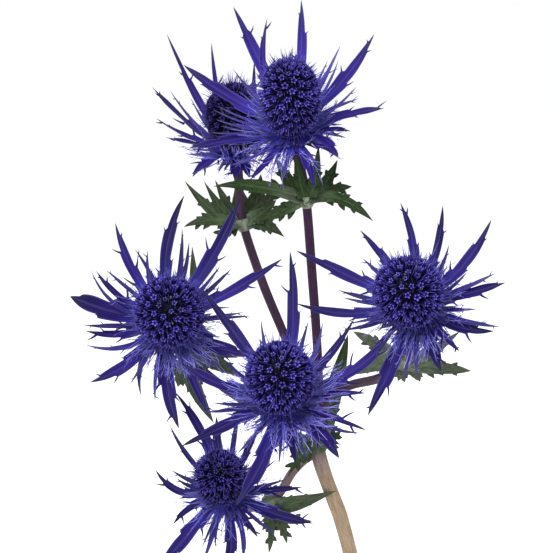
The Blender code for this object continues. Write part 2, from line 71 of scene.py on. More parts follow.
def makeStudio():
    scene = bpy.context.scene
    scene.view_settings.view_transform = "Standard"
    middle = np.array(studioSettings["middle"]) * mm
    for name, (angle, height, away, side, power) in studioSettings["lights"].items():
        lamp = bpy.data.lights.new(name, "AREA")
        lamp.size = side * mm
        lamp.energy = power
        panel = bpy.data.objects.new(name, lamp)
        scene.collection.objects.link(panel)
        angle = math.radians(angle)
        place = np.array([math.sin(angle) * away, -math.cos(angle) * away, height]) * mm
        panel.location = place
        aim = middle - place
        flat = math.hypot(aim[0], aim[1])
        panel.rotation_euler = (math.atan2(flat, -aim[2]), 0, math.atan2(aim[1], aim[0]) - math.pi / 2)
    world = bpy.data.worlds.new("studio")
    world.use_nodes = True
    background = world.node_tree.nodes["Background"]
    background.inputs["Color"].default_value = (1, 1, 1, 1)
    background.inputs["Strength"].default_value = studioSettings["sky"]
    scene.world = world
    look = studioSettings["floor"]
    reach = look["side"] * mm / 2
    corners = [(-reach, -reach, 0), (reach, -reach, 0), (reach, reach, 0), (-reach, reach, 0)]
    mesh = bpy.data.meshes.new("floor")
    mesh.from_pydata(corners, [], [(0, 1, 2, 3)])
    floor = bpy.data.objects.new("floor", mesh)
    scene.collection.objects.link(floor)
    finish, tree, shader = newFinish("matt paper floor", look)
    grain = cloudy(tree, objectPlace(tree), 900, 2)
    first, second = (onScreen(tone) for tone in look["tones"])
    paint(tree, shader, blend(tree, grain, first, second))
    mesh.materials.append(finish)


# Small tools for node materials

def onScreen(colour):
    return tuple((np.array(colour) / 255) ** 2.2) + (1,)


def newFinish(name, look):
    finish = bpy.data.materials.new(name)
    finish.use_nodes = True
    shader = finish.node_tree.nodes["Principled BSDF"]
    shader.inputs["Roughness"].default_value = look["roughness"]
    shader.inputs["Specular IOR Level"].default_value = look["gloss"]
    return finish, finish.node_tree, shader


def node(tree, kind, inputs, **settings):
    made = tree.nodes.new(kind)
    for name, value in settings.items():
        setattr(made, name, value)
    for name, value in inputs.items():
        if isinstance(value, bpy.types.NodeSocket):
            tree.links.new(value, made.inputs[name])
        else:
            made.inputs[name].default_value = value
    return made


def objectPlace(tree):
    return node(tree, "ShaderNodeTexCoord", {}).outputs["Object"]


def reading(tree, name):
    return node(tree, "ShaderNodeAttribute", {}, attribute_name=name).outputs["Fac"]


def sums(tree, operation, first, second=0.0, third=0.0):
    return node(tree, "ShaderNodeMath", {0: first, 1: second, 2: third}, operation=operation).outputs[0]


def blend(tree, share, first, second, how="MIX"):
    mixer = node(tree, "ShaderNodeMix", {0: share, 6: first, 7: second}, data_type="RGBA", blend_type=how)
    return mixer.outputs[2]


# Cloudy pattern at the given places, from 0 to 1 and mostly within 0.3 to 0.7.
def cloudy(tree, places, scale, detail):
    made = node(tree, "ShaderNodeTexNoise", {"Vector": places, "Scale": scale, "Detail": detail})
    return made.outputs["Fac"]


# A value that goes from first to last while another goes from low to high.
def fitted(tree, value, low, high, first, last, clamp=True):
    made = node(tree, "ShaderNodeMapRange", {0: value, 1: low, 2: high, 3: first, 4: last}, clamp=clamp)
    return made.outputs[0]


# Colour that changes along a ramp: stops are (place from 0 to 1, colour).
def ramp(tree, share, stops):
    made = node(tree, "ShaderNodeValToRGB", {"Fac": share})
    elements = made.color_ramp.elements
    for index, (place, colour) in enumerate(stops):
        element = elements[index] if index < 2 else elements.new(place)
        element.position = place
        element.color = onScreen(colour)
    return made.outputs["Color"]


def bumps(tree, shader, height, depth):
    made = node(tree, "ShaderNodeBump", {"Height": height, "Distance": depth * mm, "Strength": 1.0})
    tree.links.new(made.outputs["Normal"], shader.inputs["Normal"])


def paint(tree, shader, colour):
    tree.links.new(colour, shader.inputs["Base Color"])


# A place on the blade itself: how far along it is, how far across, and the blade's own random draw.
def surfacePlace(tree, alongScale, acrossScale):
    scales = dict(along=alongScale, across=acrossScale, draw=37.0)
    parts = [sums(tree, "MULTIPLY", reading(tree, name), scale) for name, scale in scales.items()]
    return node(tree, "ShaderNodeCombineXYZ", dict(enumerate(parts))).outputs[0]


# Bracts: violet blue with a bright base, a grey tip, fine streaks, and thin pale rims. Threads are pale.
bractLook = dict(
    blade=[(0, (90, 94, 212)), (0.15, (53, 48, 142)), (0.48, (38, 27, 96)), (0.8, (31, 22, 76)),
           (1, (38, 38, 62))],
    thread=[(0, (56, 56, 178)), (0.4, (80, 76, 186)), (1, (150, 146, 208))],
    rim=(110, 106, 182), rimShare=0.32, ribShare=0.11,
    streaks=(0.56, 1.46), drawShades=(0.62, 1.3),
    roughness=0.6, gloss=0.12,
)


def makeBractFinish():
    look = bractLook
    finish, tree, shader = newFinish("blue violet bract", look)
    along, sideways = reading(tree, "along"), sums(tree, "ABSOLUTE", reading(tree, "across"))
    blade, thread = (ramp(tree, along, look[kind]) for kind in ("blade", "thread"))
    streak = cloudy(tree, surfacePlace(tree, 4, 5), 1, 5)
    shade = sums(tree, "MULTIPLY", fitted(tree, streak, 0.3, 0.7, *look["streaks"]),
                 fitted(tree, reading(tree, "draw"), 0, 1, *look["drawShades"], clamp=False))
    colour = blend(tree, 1.0, blend(tree, reading(tree, "pale"), blade, thread), shade, "MULTIPLY")
    rib = fitted(tree, sideways, 0.02, 0.2, look["ribShare"], 0)
    rim = fitted(tree, sideways, 0.8, 1.0, 0, look["rimShare"])
    mark = sums(tree, "MAXIMUM", rib, rim)
    paint(tree, shader, blend(tree, mark, colour, onScreen(look["rim"])))
    bumps(tree, shader, sums(tree, "ADD", mark, streak), 0.15)
    return finish


# Florets: near black between them, a painted shade in the hollows, purple sides and light blue rims. Their
# draw is how bright they are.
floretLook = dict(
    rise=[(0, (7, 6, 20)), (0.4, (20, 14, 54)), (0.75, (44, 33, 110)), (1, (106, 102, 198))],
    young=[(0, (9, 9, 20)), (0.5, (44, 46, 74)), (1, (138, 148, 150))],
    mottle=(0.7, 1.3), roughness=0.65, gloss=0.1,
)


def makeFloretFinish():
    finish, tree, shader = newFinish("floret blue", floretLook)
    rise = reading(tree, "along")
    grown, young = (ramp(tree, rise, floretLook[kind]) for kind in ("rise", "young"))
    cloud = cloudy(tree, objectPlace(tree), 650, 3)
    mottle = fitted(tree, cloud, 0.3, 0.7, *floretLook["mottle"])
    shade = sums(tree, "MULTIPLY", mottle, reading(tree, "draw"))
    colour = blend(tree, reading(tree, "pale"), grown, young)
    paint(tree, shader, blend(tree, 1.0, colour, shade, "MULTIPLY"))
    bumps(tree, shader, cloud, 0.1)
    return finish


# Leaves: grey green at the base, dark green blades, faint pale veins. Some are pale all over.
leafLook = dict(
    blade=[(0, (112, 116, 112)), (0.24, (72, 86, 64)), (0.48, (36, 56, 22)), (0.85, (25, 42, 14)),
           (1, (46, 50, 32))],
    paleBlade=(132, 138, 122), rib=(90, 102, 80), ribShare=0.35, veinShare=0.14, mottle=(0.56, 1.42),
    roughness=0.6, gloss=0.15,
)


def makeLeafFinish():
    look = leafLook
    finish, tree, shader = newFinish("leaf green", look)
    along, sideways = reading(tree, "along"), sums(tree, "ABSOLUTE", reading(tree, "across"))
    cloud = cloudy(tree, surfacePlace(tree, 9, 2.6), 1, 5)
    blade, mottle = ramp(tree, along, look["blade"]), fitted(tree, cloud, 0.3, 0.7, *look["mottle"])
    colour = blend(tree, reading(tree, "pale"), blade, onScreen(look["paleBlade"]))
    colour = blend(tree, 1.0, colour, mottle, "MULTIPLY")
    # Nine veins slant away from the midrib on each side.
    slant = sums(tree, "MULTIPLY_ADD", sideways, -1.2, sums(tree, "MULTIPLY", along, 9.0))
    vein = fitted(tree, sums(tree, "PINGPONG", slant, 0.5), 0, 0.14, look["veinShare"], 0)
    rib = fitted(tree, sideways, 0.04, 0.16, look["ribShare"], 0)
    mark = sums(tree, "MAXIMUM", vein, rib)
    paint(tree, shader, blend(tree, mark, colour, onScreen(look["rib"])))
    bumps(tree, shader, sums(tree, "SUBTRACT", cloud, mark), 0.2)
    return finish


# Stems: tan low down, brown purple above, with fine streaks and dark specks. A tone of 0 is tan.
stemLook = dict(
    tone=[(0, (156, 134, 104)), (0.45, (117, 102, 98)), (0.7, (72, 58, 68)), (1, (47, 26, 50))],
    streaks=(0.74, 1.24), speck=(70, 50, 60), speckShare=0.35,
    roughness=0.6, gloss=0.2,
)


def makeStemFinish():
    finish, tree, shader = newFinish("stem tan and purple", stemLook)
    streak = cloudy(tree, surfacePlace(tree, 5, 4), 1, 5)
    shade = fitted(tree, streak, 0.3, 0.7, *stemLook["streaks"])
    colour = blend(tree, 1.0, ramp(tree, reading(tree, "pale"), stemLook["tone"]), shade, "MULTIPLY")
    spot = fitted(tree, cloudy(tree, objectPlace(tree), 700, 2), 0.6, 0.72, 0, stemLook["speckShare"])
    paint(tree, shader, blend(tree, spot, colour, onScreen(stemLook["speck"])))
    bumps(tree, shader, streak, 0.25)
    return finish


# Glass and water are clear all through, with their own refractive index and a faint unevenness.
glassLook = dict(colour=(232, 243, 239), roughness=0.02, gloss=0.5, index=1.5)
waterLook = dict(colour=(252, 254, 254), roughness=0.0, gloss=0.5, index=1.33)


def makeClearFinish(name, look):
    finish, tree, shader = newFinish(name, look)
    shader.inputs["Base Color"].default_value = onScreen(look["colour"])
    shader.inputs["Transmission Weight"].default_value = 1
    shader.inputs["IOR"].default_value = look["index"]
    bumps(tree, shader, cloudy(tree, objectPlace(tree), 22, 1), 0.15)
    return finish


# Small tools for shapes

def unit(vectors):
    return vectors / np.linalg.norm(vectors, axis=-1, keepdims=True)


# Every new surface is a skin: rows of rings (pieces, rows, columns, 3) whose ends close in a pole. Its
# readings have that shape without the last axis, or spread to it. Faces join each ring point to its
# neighbour and the next ring, and look outwards where a ring turns anticlockwise about the way it runs.
def skin(rings, start, end, along, across, draw, pale=0.0):
    count, rows, columns = rings.shape[:3]
    each = rows * columns + 2
    first = np.arange(count)[:, None, None] * each
    row = np.arange(rows - 1)[None, :, None] * columns
    column = np.arange(columns)[None, None, :]
    after = (column + 1) % columns
    quads = np.stack([first + row + column, first + row + after, first + row + columns + after,
                      first + row + columns + column], axis=-1).reshape(-1, 4)
    near, far = first[:, 0] + rows * columns, first[:, 0] + rows * columns + 1
    last = first[:, 0] + (rows - 1) * columns
    column, after = column[0], after[0]
    startFan = np.stack(np.broadcast_arrays(near, first[:, 0] + after, first[:, 0] + column), axis=-1)
    endFan = np.stack(np.broadcast_arrays(far, last + column, last + after), axis=-1)
    points = np.concatenate([rings.reshape(count, -1, 3), start[:, None], end[:, None]], axis=1)
    readings = {}
    for name, value in {"along": along, "across": across, "draw": draw, "pale": pale}.items():
        spread = np.broadcast_to(value, (count, rows, columns)).reshape(count, -1)
        ends = np.stack([spread[:, :columns].mean(1), spread[:, -columns:].mean(1)], axis=1)
        readings[name] = np.concatenate([spread, ends], axis=1).ravel()
    fans = np.vstack([startFan.reshape(-1, 3), endFan.reshape(-1, 3)])
    return {"points": points.reshape(-1, 3), "quads": quads, "fans": fans, "readings": readings}


# One mesh object from several skins, put in as whole arrays and shown smooth below the given edge angle.
def makePiece(name, skins, finish, node, edgeAngle=50):
    starts = np.cumsum([0] + [len(part["points"]) for part in skins[:-1]])
    points = np.vstack([part["points"] for part in skins]) * mm
    quads, fans = (np.vstack([part[kind] + start for part, start in zip(skins, starts)])
                   for kind in ("quads", "fans"))
    mesh = bpy.data.meshes.new(name)
    mesh.vertices.add(len(points))
    mesh.vertices.foreach_set("co", points.ravel())
    mesh.loops.add(quads.size + fans.size)
    mesh.loops.foreach_set("vertex_index", np.concatenate([quads.ravel(), fans.ravel()]))
    mesh.polygons.add(len(quads) + len(fans))
    loopStarts = np.concatenate([np.arange(len(quads)) * 4, quads.size + np.arange(len(fans)) * 3])
    mesh.polygons.foreach_set("loop_start", loopStarts)
    mesh.update(calc_edges=True)
    mesh.validate()
    for reading in ("along", "across", "draw", "pale"):
        values = np.concatenate([part["readings"][reading] for part in skins])
        mesh.attributes.new(reading, "FLOAT", "POINT").data.foreach_set("value", values)
    mesh.shade_smooth()
    mesh.set_sharp_from_angle(angle=math.radians(edgeAngle))
    mesh.materials.append(finish)
    piece = bpy.data.objects.new(name, mesh)
    bpy.context.scene.collection.objects.link(piece)
    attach(piece, "root")
    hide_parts(node)
    print("made", name, "with", len(quads) + len(fans), "faces")


# Catmull-Rom curve: between two points it is the cubic whose slopes there come from the points either side.
def smoothPath(points, perSpan):
    points = np.asarray(points, float)
    ends = np.vstack([2 * points[0] - points[1], points, 2 * points[-1] - points[-2]])
    a, b, c, d = (ends[i:len(ends) - 3 + i, None] for i in range(4))
    t = (np.arange(perSpan) / perSpan)[None, :, None]
    curve = b + 0.5 * t * ((c - a) + t * ((2 * a - 5 * b + 4 * c - d) + t * (3 * b - a - 3 * c + d)))
    return np.vstack([curve.reshape(-1, 3), points[-1]])


# Quadratic curve from root to tip by way of its middle point: (1-t)^2 root + 2t(1-t) middle + t^2 tip.
def bend(root, middle, tip, t):
    t = t[..., None]
    root, middle, tip = root[:, None], middle[:, None], tip[:, None]
    places = (1 - t) ** 2 * root + 2 * t * (1 - t) * middle + t ** 2 * tip
    return places, unit((1 - t) * (middle - root) + t * (tip - middle))


# Half width of a blade as a share of its greatest: (base + (1.6 - base) t)(1 - t^(2.3 + blunt)).
def bladeShare(t, base=0.82, blunt=0.0):
    return (base + (1.6 - base) * t) * (1 - t ** (2.3 + np.reshape(blunt, (-1, 1))))


# Both rims of a bract widen a little towards each tooth and step in after it, by depth x (fraction of
# (teeth x t + phase) - 0.5).
def rimShare(t, teeth, phase, depth):
    return 1 + depth * ((teeth * t + phase) % 1 - 0.5)


# Blades: the middle line is a bend, and the section is a shallow gutter with a lens of flesh that thins to
# the rims and the tip. The rims wave a little: 0.3 x half width x sin(2 pi (1.8 t + 3 draw)) x t.
bladeAcross = np.array([-1, -0.8, -0.5, -0.14, 0, 0.14, 0.5, 0.8, 1, 0.7, 0.16, -0.16, -0.7])
bladeFace = np.array([0, 1, 1, 1, 1, 1, 1, 1, 0, -1, -1, -1, -1])


def bladeSkin(root, middle, tip, axis, width, chance, rows, gutter, thick=0.7, blunt=0.0, base=0.82,
              start=0.0, pale=0.0, rims=None, draws=(0, 1)):
    count = len(root)
    t = np.broadcast_to(np.linspace(0, 0.985, rows), (count, rows))
    places, ways = bend(root, middle, tip, t)
    sides = unit(np.cross(ways, axis))
    ups = np.cross(sides, ways)
    draw = chance.uniform(*draws, (count, 1))
    half = (np.reshape(width, (-1, 1)) / 2 * bladeShare(t, base, blunt))[..., None]
    across = bladeAcross[None, None]
    if rims is not None:
        left, right = (rimShare(t, rims["teeth"], phase, rims["depth"]) for phase in rims["phases"])
        half = half * np.where(across < 0, left[..., None], right[..., None])
    # A groove runs along the middle above, and a rib below.
    middleLine = np.abs(bladeAcross) < 0.1 + 0.07 * (bladeFace < 0)
    flesh = bladeFace * np.sqrt(1 - bladeAcross ** 2) + np.where(bladeFace < 0, -0.5, -0.25) * middleLine
    rise = gutter * half * np.abs(across) ** 1.5
    wave = 0.3 * half * across * np.sin(2 * math.pi * (1.8 * t + 3 * draw))[..., None] * t[..., None]
    lift = rise + wave + flesh * thick / 2 * ((1 - t) ** 0.4)[..., None]
    rings = places[:, :, None] + sides[:, :, None] * (across * half)[..., None]
    rings = rings + ups[:, :, None] * lift[..., None]
    along = start + (1 - start) * t[..., None]
    return skin(rings, places[:, 0], tip, along, across, draw[..., None], np.reshape(pale, (-1, 1, 1)))


# Needles: a straight line plus a bow of 4t(1-t), round, with a radius that shrinks as (1-t)^0.7.
def needleSkin(root, tip, bow, width, draw, start, pale, rows=4, columns=4):
    t = np.linspace(0, 0.86, rows)[None, :, None]
    places = root[:, None] + (tip - root)[:, None] * t + bow[:, None] * 4 * t * (1 - t)
    ways = unit((tip - root)[:, None] + bow[:, None] * 4 * (1 - 2 * t))
    sides = unit(np.cross(ways, unit(np.array([0.31, 0.52, 0.79]))))
    ups = np.cross(ways, sides)
    turns = np.arange(columns) * 2 * math.pi / columns
    circle = np.cos(turns)[:, None] * sides[:, :, None] + np.sin(turns)[:, None] * ups[:, :, None]
    radius = np.reshape(width, (-1, 1, 1, 1)) / 2 * (1 - t[..., None]) ** 0.7
    start = np.reshape(start, (-1, 1, 1))
    return skin(places[:, :, None] + circle * radius, places[:, 0], tip, start + (1 - start) * t, 0.5,
                np.reshape(draw, (-1, 1, 1)), np.reshape(pale, (-1, 1, 1)))


# Round rod along a path, with its radius at each point and fine ribs: radius x (1 + depth cos(ribs x turn)).
def rodSkin(path, radii, tone, columns, ribs=0, depth=0.0, start=0.0):
    ways = unit(np.gradient(path, axis=0))
    sides = unit(np.cross(ways, (0, 1, 0)))
    ups = np.cross(ways, sides)
    turns = np.arange(columns) * 2 * math.pi / columns
    radii = np.broadcast_to(radii, len(path))[:, None] * (1 + depth * np.cos(ribs * turns))
    circle = np.cos(turns)[:, None] * sides[:, None] + np.sin(turns)[:, None] * ups[:, None]
    rings = path[:, None] + circle * radii[..., None]
    travel = np.append(0, np.cumsum(np.linalg.norm(np.diff(path, axis=0), axis=1)))
    along = start + travel[None, :, None] / 20
    return skin(rings[None], path[:1], path[-1:], along, np.cos(turns)[None, None], 0.5,
                np.reshape(tone, (1, -1, 1)))


# Turned form: a profile of (radius, height) points carried round the Z axis, or round a frame's own.
def turnedSkin(profile, columns, origin=(0, 0, 0), axes=np.eye(3), along=0.5):
    profile = np.asarray(profile, float)
    turns = np.arange(columns) * 2 * math.pi / columns
    rings = profile[1:-1, None, :1] * np.stack([np.cos(turns), np.sin(turns), 0 * turns], axis=1)
    rings[..., 2] = profile[1:-1, 1:]
    poles = np.array([(0, 0, profile[0, 1]), (0, 0, profile[-1, 1])])
    rings, poles = origin + rings @ axes, origin + poles @ axes
    return skin(rings[None], poles[:1], poles[1:], along, 0.5, 0.5)


# Heads. bright: how bright the florets are, a painted shade that darkens the back head and the low one.
# draws: range of the bracts' draws, where a higher one is brighter. The ranges carry painted light and shade
# from head to head, highest for the top head and lowest for the low one. foot: where the bracts spread.
# facing: degrees to the right of the front, and above level. cone: radius and half length. fringe: (clock,
# spread either way, number, reach) of threads. bracts: (clock, reach, width, lift, sweep), with clock and
# reach as the camera sees them, lift out of the plane square to the cone, and sweep the share of its length
# by which the middle bows clockwise. All heads but the front one end with two to five that are too thin for
# the solids.
heads = {
    "front": dict(
        bright=1, draws=(0, 0.95), foot=(-30, -40, 221.8), facing=(-5, 43), cone=(11.8, 14.2),
        fringe=[(60, 26, 30, 22), (100, 18, 16, 20), (195, 70, 50, 19), (290, 30, 24, 24)],
        bracts=[(3, 50, 4, 8, 0.08), (42, 36, 3, 14, 0.09), (59, 43, 4.2, 9, 0.2),
                (85, 27.5, 2.6, 12, -0.1), (109, 29, 2.4, 6, -0.03), (135, 26, 5.2, 6, -0.1),
                (205, 36.5, 5, 4, -0.1), (246, 36, 4.2, 8, 0.03), (290, 36.5, 4.2, 12, -0.12),
                (323, 46, 4, 9, 0.02), (168, 20, 3, 10, 0), (18, 28, 1.8, 24, 0), (27, 29.5, 1.8, 20, 0.18),
                (345, 28, 1.5, 24, -0.1), (111, 27, 1.8, 14, 0.15), (156, 20, 1.3, 16, 0),
                (184, 19, 1.2, 20, 0), (222, 22, 1.6, 16, 0), (263, 26, 1.8, 18, 0), (270, 23, 1.5, 26, 0),
                (305, 27, 1.3, 26, 0)]),
    "left": dict(
        bright=1, draws=(0, 1), foot=(-70, -2, 240.4), facing=(5, 25), cone=(12.6, 14),
        fringe=[(150, 45, 46, 24), (190, 40, 26, 19), (105, 25, 16, 20)],
        bracts=[(7, 45, 4, 8, -0.18), (30, 51, 4.4, 6, 0.07), (61, 46, 3.8, 9, 0.05), (112, 32, 5, 8, 0.1),
                (155, 36, 3, 10, 0), (173, 37, 5, 5, 0.14), (232, 33.5, 4.4, 7, -0.17),
                (264, 28, 3, 14, -0.17), (285, 35, 5.8, 8, -0.08), (306, 30.5, 2.6, 16, -0.18),
                (332, 39.5, 3.4, 10, -0.13), (9, 33, 1.9, 24, 0.1), (43, 27, 1.6, 26, 0.05),
                (50, 29, 1.8, 16, 0.05), (82, 27, 1.6, 22, 0), (86, 29.5, 1.4, 12, -0.02),
                (130, 26, 1.5, 20, 0), (198, 26.5, 1.9, 16, 0.3), (187, 27, 1.6, 20, 0.1),
                (255, 28.5, 1.9, 20, -0.3), (269, 28, 1.9, 26, 0), (305, 32, 1.4, 20, -0.35),
                (345, 26, 1.8, 24, -0.2), (15, 29, 1.8, 22, 0.1), (311, 28, 1.6, 20, 0.03),
                (336, 28, 1.6, 22, 0.15), (210, 24, 1.3, 24, 0)]),
    "right": dict(
        bright=1, draws=(0, 0.8), foot=(15.4, -20, 249.6), facing=(-16, 30), cone=(12.2, 14),
        fringe=[(205, 60, 50, 20), (85, 30, 16, 18)],
        bracts=[(352, 36, 3, 12, 0.13), (15.5, 35.5, 3, 10, 0.11), (41, 39, 3.8, 8, 0.16),
                (75, 30.5, 3.8, 10, 0), (108, 26.5, 3.6, 8, 0.17), (161, 23, 5, 8, 0),
                (205, 40.5, 4.8, 4, -0.03), (271, 41, 3.4, 8, -0.16), (295, 45, 4, 8, 0),
                (324, 32, 3, 14, 0.07), (138, 20, 2.4, 14, 0), (27, 23.5, 1.5, 24, 0.1),
                (54, 20, 1.6, 24, 0.1), (66.5, 28, 1.9, 18, 0), (92, 19, 1.6, 20, 0),
                (104, 27, 1.9, 18, 0.03), (183, 23.5, 1.8, 18, 0.03), (192, 26, 1.9, 10, -0.05),
                (228, 22, 1.7, 18, 0), (252, 27, 1.9, 14, -0.08), (282, 27.5, 1.9, 20, -0.03),
                (312, 24.5, 1.9, 24, 0), (277, 25.5, 1.5, 16, -0.05), (256, 24, 1.4, 20, 0)]),
    "top": dict(
        bright=1, draws=(0.9, 1.8), foot=(-26.7, -10, 308.8), facing=(-4, 45), cone=(10.8, 17),
        fringe=[(225, 40, 24, 21), (285, 25, 12, 20)],
        bracts=[(4, 47.5, 3.8, 12, 0.05), (40, 44.5, 4.2, 10, 0.09), (77, 32, 3.8, 10, -0.13),
                (124, 18.5, 5, 8, -0.2), (160, 22, 2.8, 6, -0.05), (218, 23, 2.4, 10, 0),
                (259, 35.5, 4.2, 10, 0.08), (301.5, 44, 4.8, 10, -0.04), (335.5, 49.5, 4.4, 10, 0.02),
                (348, 40.5, 2.6, 22, -0.28), (92, 19.5, 2.4, 16, -0.2), (26.5, 27, 1.5, 28, -0.05),
                (29, 34, 1.9, 20, 0), (56, 26, 1.6, 22, 0.1), (64.5, 25, 1.6, 14, -0.17),
                (100.5, 18.5, 1.5, 8, -0.1), (145, 17, 1.3, 18, 0), (190, 18, 1.4, 18, 0),
                (238, 24, 1.5, 20, 0), (277, 25.5, 1.4, 24, 0), (317, 29.5, 1.6, 28, 0),
                (33, 29, 1.3, 22, 0.1), (288, 26, 1, 20, 0), (284, 27, 1, 26, 0), (273, 24, 1, 18, 0),
                (267, 27.5, 1.1, 14, 0)]),
    "back": dict(
        bright=0.3, draws=(0.4, 1.2), foot=(-46.1, 22, 298.1), facing=(-12, 74), cone=(10.6, 13.2),
        fringe=[(235, 20, 5, 14), (275, 20, 6, 20)],
        bracts=[(347, 43.5, 2.8, 42, -0.08), (330, 52.5, 3.2, 34, 0.03), (309, 40, 3.4, 26, 0.05),
                (293, 32, 2.8, 14, -0.05), (282, 26.5, 3, 6, 0.04), (234, 18.8, 4.6, -6, 0.12),
                (157, 12, 4, -8, 0), (181, 12.5, 4.2, -8, 0), (9, 36, 3, 44, 0.08), (52, 38, 3, 28, 0),
                (82, 34, 3.2, 12, 0), (314, 33, 1.9, 36, 0), (266, 18, 1.8, 8, -0.1), (205, 12, 1.4, 4, 0),
                (70, 28, 1.5, 24, 0), (27, 33.5, 3.4, 40, 0), (322, 27, 1.5, 40, 0), (272, 16, 1.2, 10, 0),
                (215, 11, 1.8, -8, 0)]),
    "low": dict(
        bright=0.6, draws=(-0.1, 0.6), foot=(-50.4, 4, 177), facing=(-8, 38), cone=(9.5, 13.2),
        fringe=[(85, 30, 10, 16), (190, 60, 14, 15)],
        bracts=[(332, 40, 3.4, 10, 0.11), (353, 27, 3, 16, -0.08), (27, 26, 2.4, 14, 0),
                (84.5, 28, 2.6, 12, 0), (107, 33, 4.2, 6, 0.08), (181, 31, 3.8, 4, -0.16),
                (222, 36, 4.8, 6, 0.03), (240, 21, 2.8, 12, 0.24), (287, 26.5, 3, 8, -0.42),
                (141, 19, 2.4, 8, 0), (320, 31.5, 1.9, 20, -0.14), (294, 21, 1.8, 28, -0.05),
                (288, 18.5, 1.6, 22, -0.2), (8, 34, 1.9, 20, 0), (74, 22.5, 1.6, 24, 0),
                (126, 22, 1.4, 16, 0), (166, 24, 1.8, 16, -0.2), (198, 24, 1.9, 14, 0),
                (55, 22, 1.4, 24, 0), (190, 18, 1, 20, 0.1), (204, 20, 1.1, 10, 0)]),
}
bractSettings = dict(
    rootRadius=3.2, rootRise=(-0.15, 0.35),  # by turns, so that neighbours cross
    spineWidth=2,  # narrower than this, a bract is a spine
    bluntWidth=5.5, blunt=1.6,  # broader than this, it has a blunt tip
    blade=dict(broader=1.12, teeth=3, toothLength=(1.4, 7), toothWidth=0.85, step=0.42, rows=40, gutter=0.3,
               pale=0.0),
    spine=dict(broader=1.1, teeth=3, toothLength=(0.9, 4.2), toothWidth=0.5, step=0.25, rows=16, gutter=0.6,
               pale=0.15),
    frill=dict(count=46, root=4, lift=(14, 44), length=(0.75, 1.2), width=(0.9, 1.7)),
    feather=dict(allRound=(0, 180, 24, 20), closer=2.2, longest=22, width=(0.3, 0.7), reach=(0.6, 1.1),
                 lift=(-8, 34), sweep=0.16, rise=(-1.5, 1), stray=1.2),
    barb=dict(count=4, spots=(0.35, 0.85), length=(1.0, 2.8), width=0.28, stray=0.5),
    hubProfile=[(0, -4), (1.9, -4), (2.6, -3), (3.7, -2), (5.4, -0.7), (6.1, 0), (6.2, 0.5), (5.9, 1.4),
                (0, 1.5)],
)


def facingWay(facing):
    right, up = (math.radians(angle) for angle in facing)
    return np.array([math.sin(right) * math.cos(up), -math.cos(right) * math.cos(up), math.sin(up)])


# Rows of the head's own axes: X to the right, Z along its cone.
def headAxes(head):
    z = facingWay(head["facing"])
    x = unit(np.cross((0, 0, 1), z))
    return np.array([x, np.cross(z, x), z])


# Ways on the picture, at clock angles in degrees.
def clockWays(clock):
    clock = np.radians(clock)[:, None]
    return np.cos(clock) * viewUp + np.sin(clock) * viewRight


# Direction and length of each bract: it lies in the plane of its clock angle and the line of sight, swung
# until it stands at its lift above the plane square to the cone. It is at most twice as long as its reach.
def aimed(axis, clock, reach, lift):
    seen = clockWays(clock)
    level, near = seen @ axis, viewNear @ axis
    spread = np.arccos(np.clip(np.sin(np.radians(lift)) / np.hypot(level, near), -1, 1))
    swings = np.arctan2(near, level) + np.array([[-1], [1]]) * spread
    swing = np.where(np.cos(swings[0]) > np.cos(swings[1]), swings[0], swings[1])
    ways = seen * np.cos(swing)[:, None] + viewNear * np.sin(swing)[:, None]
    return ways, reach / np.maximum(np.cos(swing), 0.5)


# Teeth: where a rim steps in, a needle leaves it, outwards, forwards and a little up. They are shorter near
# the tip. spots: shares of the blade that they stand between.
toothSettings = dict(spots=(0.16, 0.93), out=(0.4, 0.85), forwards=0.75, up=(-0.1, 0.45), bow=-0.07)


def teethSkin(root, middle, tip, axis, width, chance, rims, length, thick, pale):
    form, count, teeth = toothSettings, len(root), rims["teeth"]
    skins = []
    for side, phase in zip((-1, 1), rims["phases"]):
        spots = np.clip((np.arange(1, teeth + 1) - phase) / teeth, *form["spots"])
        places, ways = bend(root, middle, tip, spots)
        sides = unit(np.cross(ways, axis)) * side
        half = np.reshape(width, (-1, 1)) / 2 * bladeShare(spots) * (1 + rims["depth"] * 0.3)
        foot = (places + sides * half[..., None] * 0.8 - ways * 0.5).reshape(-1, 3)
        size = length[0] + (length[1] - length[0]) * chance.random((count * teeth, 1)) ** 1.8
        size = size * (1.25 - 0.65 * spots.reshape(-1, 1))
        out = sides * chance.uniform(*form["out"], (count, teeth, 1)) + ways * form["forwards"]
        out = unit(out + axis * chance.uniform(*form["up"], (count, teeth, 1))).reshape(-1, 3)
        bow = ways.reshape(-1, 3) * form["bow"] * size
        skins.append(needleSkin(foot, foot + out * size, bow, thick * (0.7 + 0.1 * size[:, 0]),
                                np.repeat(chance.random(count), teeth), 0.4, pale))
    return skins


# Root, middle and tip of each bract in a list, and its width.
def bractLines(head, bracts):
    axis = headAxes(head)[2]
    clock, reach, width, lift, sweep = np.array(bracts, float).T
    ways, length = aimed(axis, clock, reach, lift)
    level = ways - axis * (ways @ axis)[:, None]
    even, odd = bractSettings["rootRise"]
    rise = np.where(np.arange(len(width)) % 2, odd, even)[:, None]
    root = head["foot"] + unit(level) * bractSettings["rootRadius"] + axis * rise
    length = (length - bractSettings["rootRadius"])[:, None]
    middle = root + (level / 2 + np.cross(level, axis) * sweep[:, None]) * length
    return root, middle, root + ways * length, width


